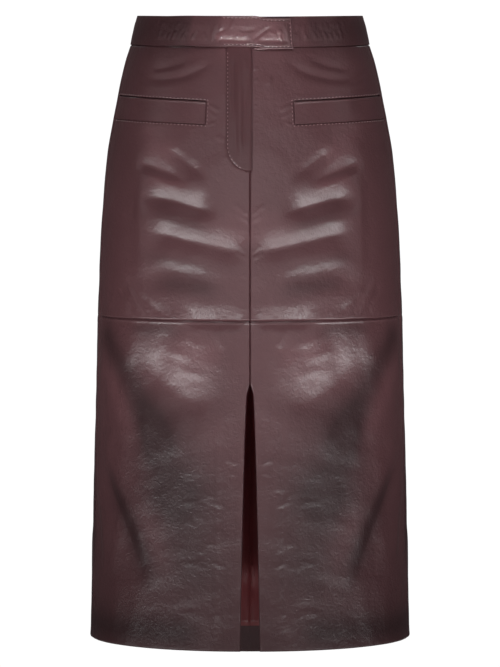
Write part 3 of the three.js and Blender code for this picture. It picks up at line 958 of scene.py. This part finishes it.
# Its end lifts off to lie over its start, drops a little, and leans so that its lower part faces down
BAND_LIFT = 4.2
BAND_LIFT_FROM = 314
BAND_LIFT_TO = 332
BAND_TAB_DROP = 3
BAND_TAB_DROP_FROM = 362
BAND_TAB_DROP_TO = 369
BAND_TAB_LEAN = 1.4
BAND_LEAN_TOP = 0.8
BAND_LEAN_SLOPE = 2
BAND_LEAN_FROM = 336
BAND_LEAN_TO = 352

# The soft bump over the tab's stud
STUD_TURN = 14
STUD_Z = -9.5
STUD_RADIUS = 4.2
STUD_SLOPE = 2.5
STUD_HEIGHT = 0.8

# The tab is stitched from here to its end, in a groove beside its puffed edge
TAB_STITCH_FROM = 346
TAB_STITCH_FADE = 3
TAB_STITCH_INSET = 2.2
TAB_EDGE_PUFF = 0.45
TAB_PUFF_INSET = 0.8
TAB_PUFF_ROLL = 0.8
TAB_GROOVE = -0.5
TAB_GROOVE_ROLL = 0.7

# Wrinkles of the band, the same on both sides and round the back
BAND_WRINKLES = (
    puckers((14, -24), (50, -19), 6.0, (3, 18), 0.9, 1.5, seed=41, lean=0.4)
    + puckers((52, 9), (14, 3), 6.0, (2, 18), 1.0, 1.5, seed=42, lean=0.3)
    + puckers((55, -20), (178, -19), 12.0, (3, 18), 0.22, 1.5, seed=43, lean=0.4)
    + puckers((178, 10), (55, 13), 13.0, (2, 18), 0.22, 1.5, seed=44, lean=0.3)
)

# Creases of the tab and of the band beside it, where the fastening pulls
TAB_CREASES = [
    # the streak along the lower part, and the hollow below it
    Crease((-18, -17.5), (1.5, -20.5), -1.3, 5.5, 5, fade=0.25, sharp=1.0),
    Crease((3, -20), (18.5, -19.5), -1.0, 4.5, 4, fade=0.2, sharp=1.0),
    Crease((-10.6, -17), (-9.6, -11), 0.3, 1.2, 1.2),
    Crease((-7.0, -18), (-6.2, -12), 0.35, 1.2, 1.2),
    Crease((-3.8, -18), (-3.0, -13), 0.3, 1.2, 1.2),
    # the drops and the bulge above it
    Crease((-20.8, -5), (-20.2, 7), 0.5, 1.6, 1.6),
    Crease((-14.2, -9), (-13.4, 3), 0.6, 1.5, 1.5),
    Crease((-9.0, -7), (-7.8, 7), 0.8, 1.9, 1.9),
    Crease((-17, -12), (-10, -4), -0.6, 2.4, 2.4, sharp=1.0),
    Crease((-6, -7), (4, -5), -0.8, 5, 2.6, bow=-2, sharp=1.0),
    # the fold from the lower edge up to the stud
    Crease((0.5, -22), (12, -1.5), -1.1, 2.4, 3.2, bow=2, sharp=0.8),
    Crease((8, -9), (13, -13), 0.5, 2.6, 2.0),
]


def rising(turn, start, end):
    """0 up to the start, 1 from the end"""
    return smooth((turn - start) / (end - start))


def band_spot(turn, v):
    """Turn, height and offset of the waistband, where v runs from 0 at its top edge to 1 at the seam"""
    lift = rising(turn, BAND_LIFT_FROM, BAND_LIFT_TO) * BAND_LIFT
    drop = rising(turn, BAND_TAB_DROP_FROM, BAND_TAB_DROP_TO) * BAND_TAB_DROP
    lean = rising(turn, BAND_LEAN_FROM, BAND_LEAN_TO) * BAND_TAB_LEAN
    top, foot = line_height(WAIST_TOP, turn), line_height(BAND_SEAM, turn) + SEAM_GAP / 2
    z = mix(top, foot, v) - drop
    round_turn = wrapped(turn)
    out = BAND_PROUD + lift + lean * (BAND_LEAN_TOP - BAND_LEAN_SLOPE * v) + BAND_BULGE * np.sin(np.pi * v)
    out += relief(np.abs(round_turn), z, BAND_WRINKLES)
    from_stud = np.hypot((round_turn - STUD_TURN) * MM_PER_DEGREE, z - STUD_Z)
    stud = STUD_HEIGHT * smooth((STUD_RADIUS - from_stud) / STUD_SLOPE)
    from_edge = np.minimum(np.minimum(v, 1 - v) * (top - foot), (BAND_TO - turn) * MM_PER_DEGREE)
    edge = (TAB_EDGE_PUFF * bell(from_edge - TAB_PUFF_INSET, TAB_PUFF_ROLL)
            + TAB_GROOVE * bell(from_edge - TAB_STITCH_INSET, TAB_GROOVE_ROLL))
    tab = relief(round_turn, z, TAB_CREASES) + stud
    tab += rising(turn, TAB_STITCH_FROM, TAB_STITCH_FROM + TAB_STITCH_FADE) * edge
    return turn, z, out + np.where(turn > 180, tab, 0)


def band_place(u, v):
    return band_spot(mix(BAND_FROM, BAND_TO, u), v)


# The columns of its grid are closest at the end of the tab, past this share of its length
TAB_END_SHARE = 0.995
band_columns = np.concatenate([crowded(600, (0.97,), 3, 0.05) * TAB_END_SHARE,
                               np.linspace(TAB_END_SHARE, 1, 22)[1:]])
waistband = leather_grid("waistband", band_columns, crowded(44, (0, 1), 4, 0.07), band_place)
give_wall(waistband, BAND_THICKNESS, BAND_EDGE)
finish(waistband, NAPPA, "waistband")
declare_cut(band_place)


# The pocket welts, whose folded top edge rolls out

WELT_THICKNESS = 1.5
WELT_EDGE = 0.6
WELT_PROUD = 0.7
WELT_ROLL_HEIGHT = 0.5
WELT_ROLL_BELOW = 0.9
WELT_ROLL = 1.0


def make_welt(name, sign):
    def place(u, v):
        along = u if sign > 0 else 1 - u
        turn = mix(WELT_INNER_TURN, WELT_OUTER_TURN, along)
        z = mix(WELT_INNER_Z, WELT_OUTER_Z, along) - v * WELT_HEIGHT
        rolled_edge = WELT_ROLL_HEIGHT * bell(v * WELT_HEIGHT - WELT_ROLL_BELOW, WELT_ROLL)
        return sign * turn, z, relief(turn, z, MAIN_FOLDS) + WELT_PROUD + rolled_edge

    piece = leather_grid(name, crowded(130, (0, 1), 3, 0.02), crowded(30, (0, 1), 2, 0.08), place)
    give_wall(piece, WELT_THICKNESS, WELT_EDGE)
    finish(piece, NAPPA, name)
    declare_cut(place)


for side_name, side_sign in SIDES:
    make_welt(f"pocket_welt_{side_name}", side_sign)


# The fly, whose front edge stands up and whose stitched edge dips

FLY_THICKNESS = 1.2
FLY_EDGE = 0.4
FLY_PROUD = 0.9
FLY_FRONT_HEIGHT = 0.8
FLY_FRONT_INSET = 0.8
FLY_FRONT_ROLL = 1.3
FLY_STITCHED_DIP = 0.9
FLY_STITCHED_ROLL = 1.6


def fly_spot(x, z):
    turn = turn_at_x(x, z)
    out = relief(np.abs(turn), z, MAIN_FOLDS) + relief(turn, z, FLY_FOLDS) + FLY_PROUD
    front_edge = FLY_FRONT_HEIGHT * bell(FLY_RIGHT - x - FLY_FRONT_INSET, FLY_FRONT_ROLL)
    stitched_edge = seam_dip(x - fly_left(z), FLY_STITCHED_DIP, FLY_STITCHED_ROLL)
    return turn, z, out + front_edge + stitched_edge


def fly_place(u, v):
    z = mix(BAND_SEAM.side + BAND_SEAM.front - SEAM_GAP / 2, FLY_BOTTOM_Z, v)
    return fly_spot(mix(fly_left(z), FLY_RIGHT, u), z)


fly = leather_grid("fly", crowded(34, (0, 1), 2, 0.08), crowded(130, (1,), 3, 0.04), fly_place)
give_wall(fly, FLY_THICKNESS, FLY_EDGE)
finish(fly, NAPPA_FLY_PAINTED_SHADE, "fly")
declare_cut(fly_place)


# Topstitching

STITCH_PITCH = 4.6
STITCH_HALF_SIZES = (1.35, 0.55, 0.45)
STITCH_PROUD = 0.25


def sew(name, rows):
    """Rows of stitches as one piece. Each row gives arrays of turn, z and offset along its way."""
    shape = bmesh.new()
    for turn, z, offset in rows:
        way = body_point(turn, z) + body_normal(turn, z) * (offset + STITCH_PROUD)[:, None]
        walked = np.concatenate([[0], np.cumsum(np.linalg.norm(np.diff(way, axis=0), axis=1))])
        starts = np.arange(STITCH_PITCH / 2, walked[-1] - STITCH_PITCH, STITCH_PITCH)
        places = [np.stack([np.interp(starts + ahead, walked, way[:, axis]) for axis in range(3)], axis=-1)
                  for ahead in (0, 2 * STITCH_HALF_SIZES[0])]
        outs = body_normal(np.interp(starts, walked, turn), np.interp(starts, walked, z))
        for start, end, out in zip(*places, outs):
            along = Vector(end - start).normalized()
            across = Vector(out).cross(along).normalized()
            axes = (along, across, along.cross(across))
            turned = Matrix([axis * size * MM for axis, size in zip(axes, STITCH_HALF_SIZES)]).transposed()
            place = Matrix.Translation(Vector((start + end) / 2 * MM)) @ turned.to_4x4()
            bmesh.ops.create_icosphere(shape, subdivisions=1, radius=1, matrix=place)
    mesh = mesh_of(name, shape)
    mesh.shade_smooth()
    finish(put_in_scene(name, mesh), THREAD)


def row_along(corners, offset_at, step=1.0):
    """A row through its corners, each a turn and a height, with the offset of what it is sewn to"""
    turns = []
    heights = []
    for (turn_a, z_a), (turn_b, z_b) in zip(corners, corners[1:]):
        length = math.hypot((turn_b - turn_a) * MM_PER_DEGREE, z_b - z_a)
        t = np.linspace(0, 1, max(2, round(length / step)))
        turns.append(mix(turn_a, turn_b, t))
        heights.append(mix(z_a, z_b, t))
    turn, z = np.concatenate(turns), np.concatenate(heights)
    return turn, z, offset_at(turn, z)


def front_upper_at(turn, z):
    pace = mm_per_degree(turn, z)
    side_turn = np.abs(turn)
    return front_upper_offset(Spot(turn, z, side_turn * pace, (SIDE_SEAM_TURN - side_turn) * pace,
                                   line_height(BAND_SEAM, turn) - z, z - line_height(MIDDLE_SEAM, turn)))


# round each pocket: along the top, down the inner end and back along the bottom
WELT_STITCH_ABOVE = 2.8
WELT_STITCH_BELOW = 2.2
WELT_STITCH_BESIDE_TURN = 1.0
for side_name, side_sign in SIDES:
    inner_turn = WELT_INNER_TURN - WELT_STITCH_BESIDE_TURN
    below = WELT_HEIGHT + WELT_STITCH_BELOW
    corners = ((WELT_OUTER_TURN, WELT_OUTER_Z + WELT_STITCH_ABOVE),
               (inner_turn, WELT_INNER_Z + WELT_STITCH_ABOVE),
               (inner_turn, WELT_INNER_Z - below),
               (WELT_OUTER_TURN, WELT_OUTER_Z - below))
    row = row_along([(side_sign * turn, z) for turn, z in corners], front_upper_at)
    sew(f"pocket_stitches_{side_name}", [row])

# along the fly's edge, in the shape of a J
FLY_STITCH_INSET = 1.5
FLY_STITCH_TOP_Z = -30
down_fly = np.sin(np.linspace(0, math.pi / 2, 200))
fly_stitch_z = mix(FLY_STITCH_TOP_Z, FLY_BOTTOM_Z + FLY_STITCH_INSET, down_fly)
sew("fly_stitches", [fly_spot(fly_left(fly_stitch_z) + FLY_STITCH_INSET, fly_stitch_z)])

# round the tab: along its top edge, down its end and back along the bottom
band_share = TAB_STITCH_INSET / (WAIST_TOP.side - BAND_SEAM.side)
tab_end = BAND_TO - TAB_STITCH_INSET / MM_PER_DEGREE
along_tab = np.linspace(TAB_STITCH_FROM, tab_end, 60)
down_tab = np.linspace(band_share, 1 - band_share, 30)
sew("tab_stitches", [
    band_spot(along_tab, np.full_like(along_tab, band_share)),
    band_spot(np.full_like(down_tab, tab_end), down_tab),
    band_spot(along_tab[::-1], np.full_like(along_tab, 1 - band_share)),
])


# Floor, light and camera

FLOOR_Z = -1250
FLOOR_RADIUS = 2200
shape = bmesh.new()
bmesh.ops.create_circle(shape, cap_ends=True, segments=96, radius=FLOOR_RADIUS * MM,
                        matrix=Matrix.Translation((0, 0, FLOOR_Z * MM)))
floor = put_in_scene("floor", mesh_of("floor", shape))
floor_paint, _, floor_shader = new_material("pale_floor_paint")
floor_shader.inputs["Base Color"].default_value = linear("#e9e7e4")
floor_shader.inputs["Roughness"].default_value = 0.8
floor.data.materials.append(floor_paint)


def soft_box(name, place, target, size, power, spread):
    lamp = bpy.data.lights.new(name, "AREA")
    lamp.shape = "RECTANGLE"
    lamp.size, lamp.size_y = size
    lamp.energy = power
    lamp.spread = math.radians(spread)
    box = put_in_scene(name, lamp)
    box.location = place
    box.rotation_euler = (Vector(target) - Vector(place)).to_track_quat("-Z", "Y").to_euler()


# Soft boxes stand round the front, the same on both sides. Low ones with grids light what faces down in
# the folds, level ones light the front, a narrow pair lights the sides, and a high one fills in. Two more
# light the back from high up, where the front doesn't mirror them. Their places and sizes are in metres.
LIGHT_TARGET = Vector((0, 0, -0.25))
LIGHT_DISTANCE = 1.7
LIGHT_SIZE = (0.6, 0.5)
STRIP_SIZE = (0.3, 0.4)
GRID = 28


class SoftBox(NamedTuple):
    bearing: float
    elevation: float
    power: float
    spread: float = 180
    size: tuple = LIGHT_SIZE


SOFT_BOXES = (
    SoftBox(0, -26, 0.12, GRID),
    SoftBox(22, -26, 0.32, GRID),
    SoftBox(44, -26, 0.36, GRID),
    SoftBox(62, -24, 0.18, GRID),
    SoftBox(0, 9, 1.4),
    SoftBox(22, 7, 1.0),
    SoftBox(58, 16, 0.65, size=STRIP_SIZE),
    SoftBox(0, 60, 5.2),
    SoftBox(150, 48, 14.0),
)

for bearing, elevation, power, spread, size in SOFT_BOXES:
    for side_name, side_sign in SIDES if bearing else (("middle", 0),):
        level = math.cos(math.radians(elevation))
        towards = Vector((side_sign * math.sin(math.radians(bearing)) * level,
                          -math.cos(math.radians(bearing)) * level, math.sin(math.radians(elevation))))
        soft_box(f"soft_box_{bearing}_{elevation}_{side_name}", LIGHT_TARGET + towards * LIGHT_DISTANCE,
                 LIGHT_TARGET, size, power, spread)

# A small one, narrowed by its grid, picks out the tab
TAB_BOX_PLACE = (0.04, -1.6, -0.72)
TAB_BOX_TARGET = (0.015, -0.115, -0.005)
TAB_BOX_SIZE = (0.12, 0.12)
TAB_BOX_POWER = 0.055
TAB_BOX_GRID = 11
soft_box("soft_box_tab", TAB_BOX_PLACE, TAB_BOX_TARGET, TAB_BOX_SIZE, TAB_BOX_POWER, TAB_BOX_GRID)

# The white behind the skirt is bright to the camera, and lights the skirt only dimly
WHITE = (1, 1, 1, 1)
SEEN_STRENGTH = 1.05
DIM_STRENGTH = 0.05
world = bpy.data.worlds.new("studio")
world.use_nodes = True
world.node_tree.nodes.clear()
seen = add(world.node_tree, "ShaderNodeBackground", {"Color": WHITE, "Strength": SEEN_STRENGTH})
dim = add(world.node_tree, "ShaderNodeBackground", {"Color": WHITE, "Strength": DIM_STRENGTH})
ray = add(world.node_tree, "ShaderNodeLightPath")
both = add(world.node_tree, "ShaderNodeMixShader", {0: ray.outputs["Is Camera Ray"], 1: dim.outputs[0],
                                                    2: seen.outputs[0]})
sky = add(world.node_tree, "ShaderNodeOutputWorld")
world.node_tree.links.new(both.outputs[0], sky.inputs["Surface"])
bpy.context.scene.world = world
bpy.context.scene.view_settings.view_transform = "Standard"

# The camera stands far off and level, as high as the middle of the photo, which is this tall at the skirt
CAMERA_DISTANCE = 6000
CAMERA_Z = -355.7
VIEW_HEIGHT = 780.4
SENSOR = 36.0
camera_data = bpy.data.cameras.new("camera")
camera_data.sensor_fit = "VERTICAL"
camera_data.sensor_height = SENSOR
camera_data.lens = SENSOR * CAMERA_DISTANCE / VIEW_HEIGHT
camera = put_in_scene("camera", camera_data)
camera.location = (0, -CAMERA_DISTANCE * MM, CAMERA_Z * MM)
camera.rotation_euler = (math.pi / 2, 0, 0)
bpy.context.scene.camera = camera
